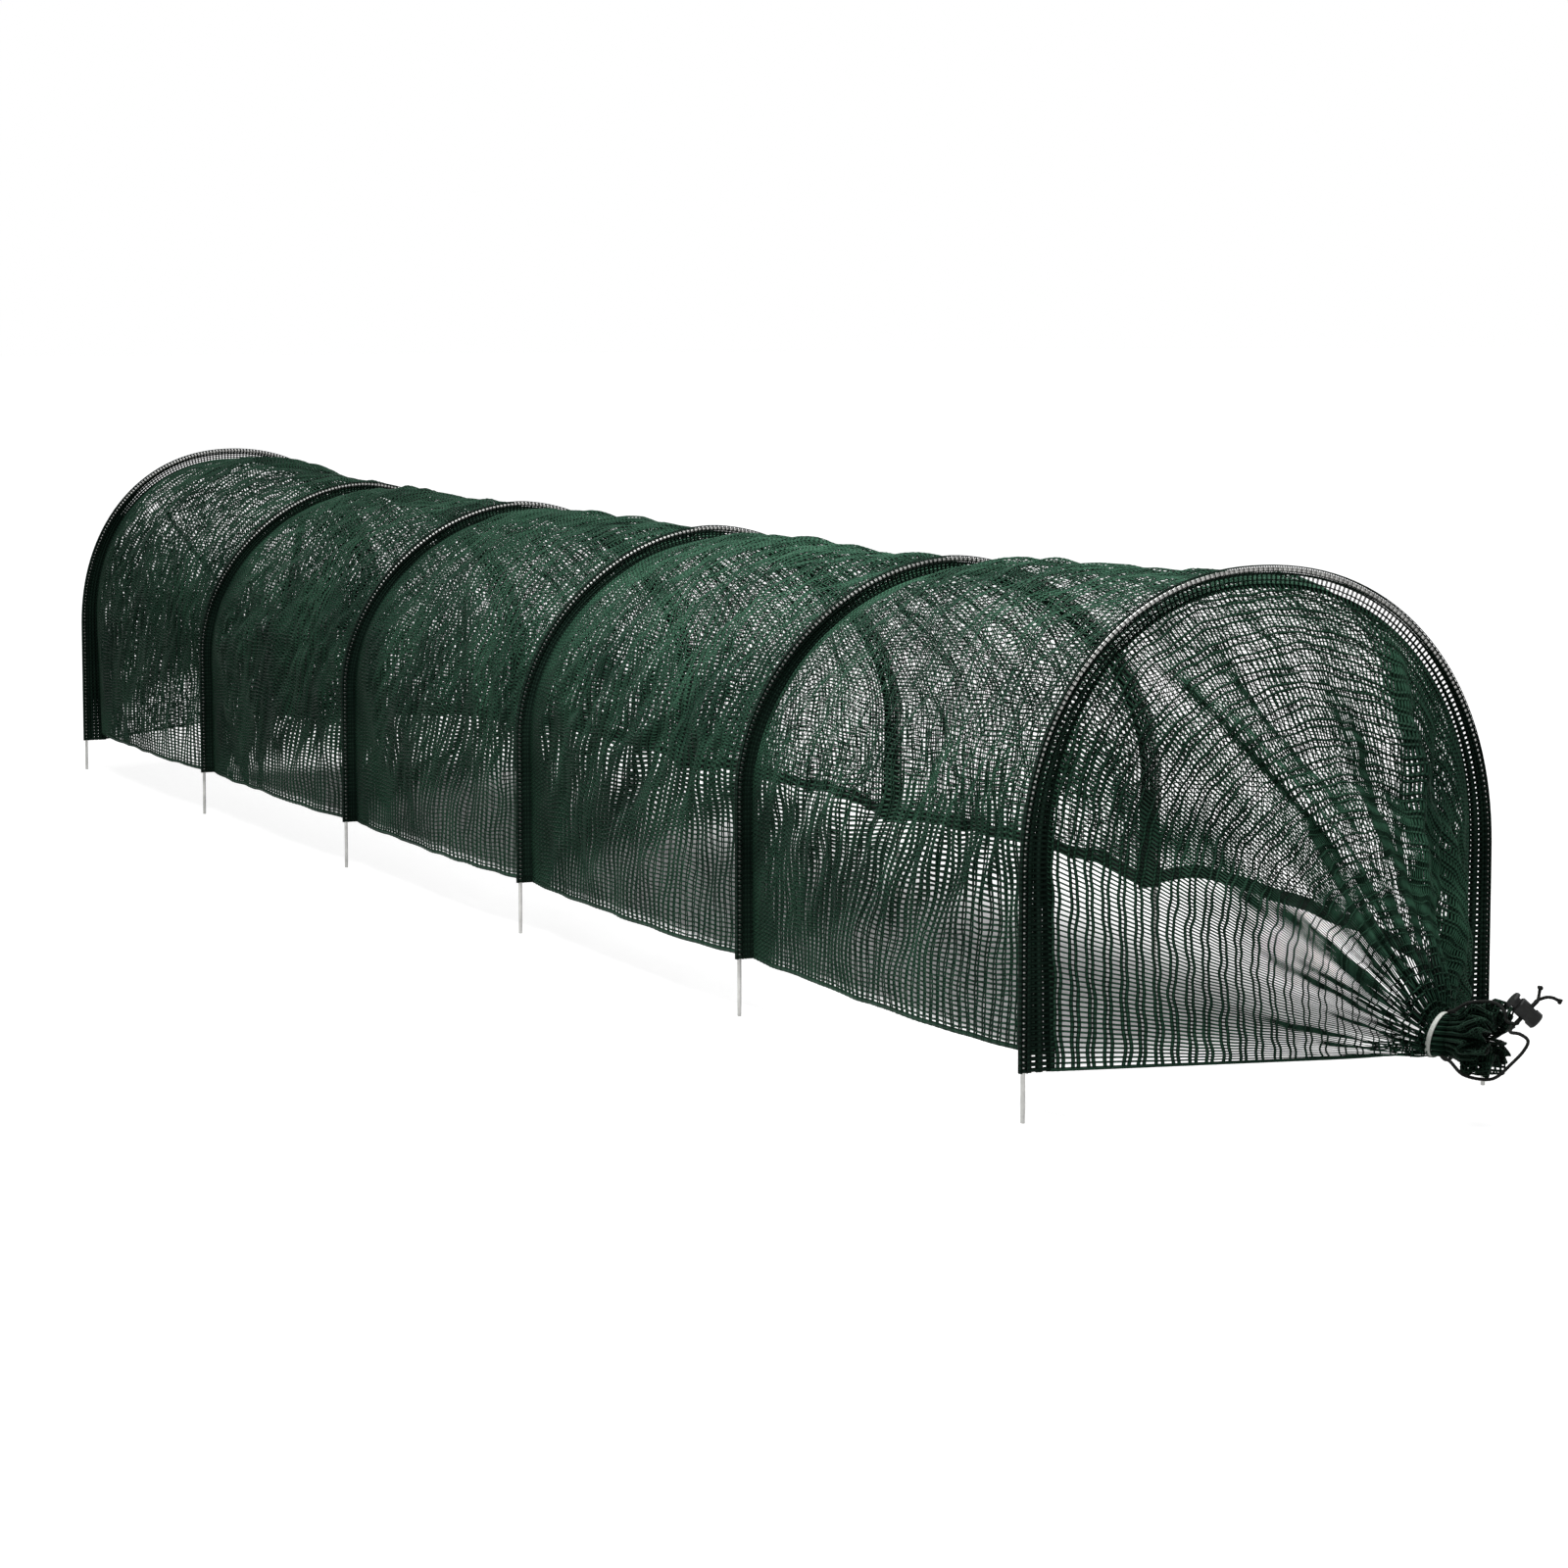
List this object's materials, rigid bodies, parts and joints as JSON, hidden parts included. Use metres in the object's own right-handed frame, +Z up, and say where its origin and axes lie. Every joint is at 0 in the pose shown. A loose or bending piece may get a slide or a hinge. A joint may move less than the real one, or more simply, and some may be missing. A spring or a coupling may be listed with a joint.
{
  "type": "netting grow tunnel",
  "caption": "Long low arched tunnel of green netting on bent wire hoops, gathered shut at both ends with a drawstring and cord lock.",
  "frame": {"origin": "middle of the tunnel's footprint, on the surface that its wire tips stand on", "axes": "+X along the tunnel towards its front end, +Y towards the side that the ends are gathered to, +Z up"},
  "size_m": [3.4762, 0.455, 0.4585],
  "materials": {
    "wire": "satin",
    "netting": "matte",
    "casing": "matte",
    "tie": "matte",
    "cord": "matte",
    "moulding": "satin",
    "spring": "satin"
  },
  "bodies": {
    "hoop_1_set": {"hoop_1": "wire", "casing_1": "casing", "netting_bay_1": "netting", "end_skirt_rear": "netting", "ruffle_rear": "netting", "neck_tie_rear": "tie", "drawstring_rear": "cord", "cord_knot_1_rear": "cord", "cord_knot_2_rear": "cord", "lock_barrel_rear": "moulding", "lock_spring_rear": "spring"},
    "hoop_2_set": {"hoop_2": "wire", "casing_2": "casing", "netting_bay_2": "netting"},
    "hoop_3_set": {"hoop_3": "wire", "casing_3": "casing", "netting_bay_3": "netting"},
    "hoop_4_set": {"hoop_4": "wire", "casing_4": "casing", "netting_bay_4": "netting"},
    "hoop_5_set": {"hoop_5": "wire", "casing_5": "casing", "netting_bay_5": "netting"},
    "hoop_6_set": {"hoop_6": "wire", "casing_6": "casing", "end_skirt_front": "netting", "ruffle_front": "netting", "neck_tie_front": "tie", "drawstring_front": "cord", "cord_knot_1_front": "cord", "cord_knot_2_front": "cord", "lock_barrel_front": "moulding", "lock_spring_front": "spring"},
    "plunger_front": {"lock_plunger_front": "moulding"},
    "plunger_rear": {"lock_plunger_rear": "moulding"}
  },
  "joints": [
    {"name": "bay_1_fold", "type": "slide", "parent": "hoop_1_set", "child": "hoop_2_set", "axis": [1, 0, 0], "range_m": [-0.57, 0], "deforming": ["netting_bay_1"]},
    {"name": "bay_2_fold", "type": "slide", "parent": "hoop_2_set", "child": "hoop_3_set", "axis": [1, 0, 0], "range_m": [-0.57, 0], "deforming": ["netting_bay_2"]},
    {"name": "bay_3_fold", "type": "slide", "parent": "hoop_3_set", "child": "hoop_4_set", "axis": [1, 0, 0], "range_m": [-0.57, 0], "deforming": ["netting_bay_3"]},
    {"name": "bay_4_fold", "type": "slide", "parent": "hoop_4_set", "child": "hoop_5_set", "axis": [1, 0, 0], "range_m": [-0.57, 0], "deforming": ["netting_bay_4"]},
    {"name": "bay_5_fold", "type": "slide", "parent": "hoop_5_set", "child": "hoop_6_set", "axis": [1, 0, 0], "range_m": [-0.57, 0], "deforming": ["netting_bay_5"]},
    {"name": "lock_front_press", "type": "slide", "parent": "hoop_6_set", "child": "plunger_front", "axis": [-0.2955, -0.6741, 0.677], "range_m": [-0.0035, 0], "stiffness_N_per_m": 300, "springref_m": 0.004, "deforming": ["lock_spring_front"]},
    {"name": "lock_rear_press", "type": "slide", "parent": "hoop_1_set", "child": "plunger_rear", "axis": [0.2955, -0.6741, 0.677], "range_m": [-0.0035, 0], "stiffness_N_per_m": 300, "springref_m": 0.004, "deforming": ["lock_spring_rear"]}
  ]
}
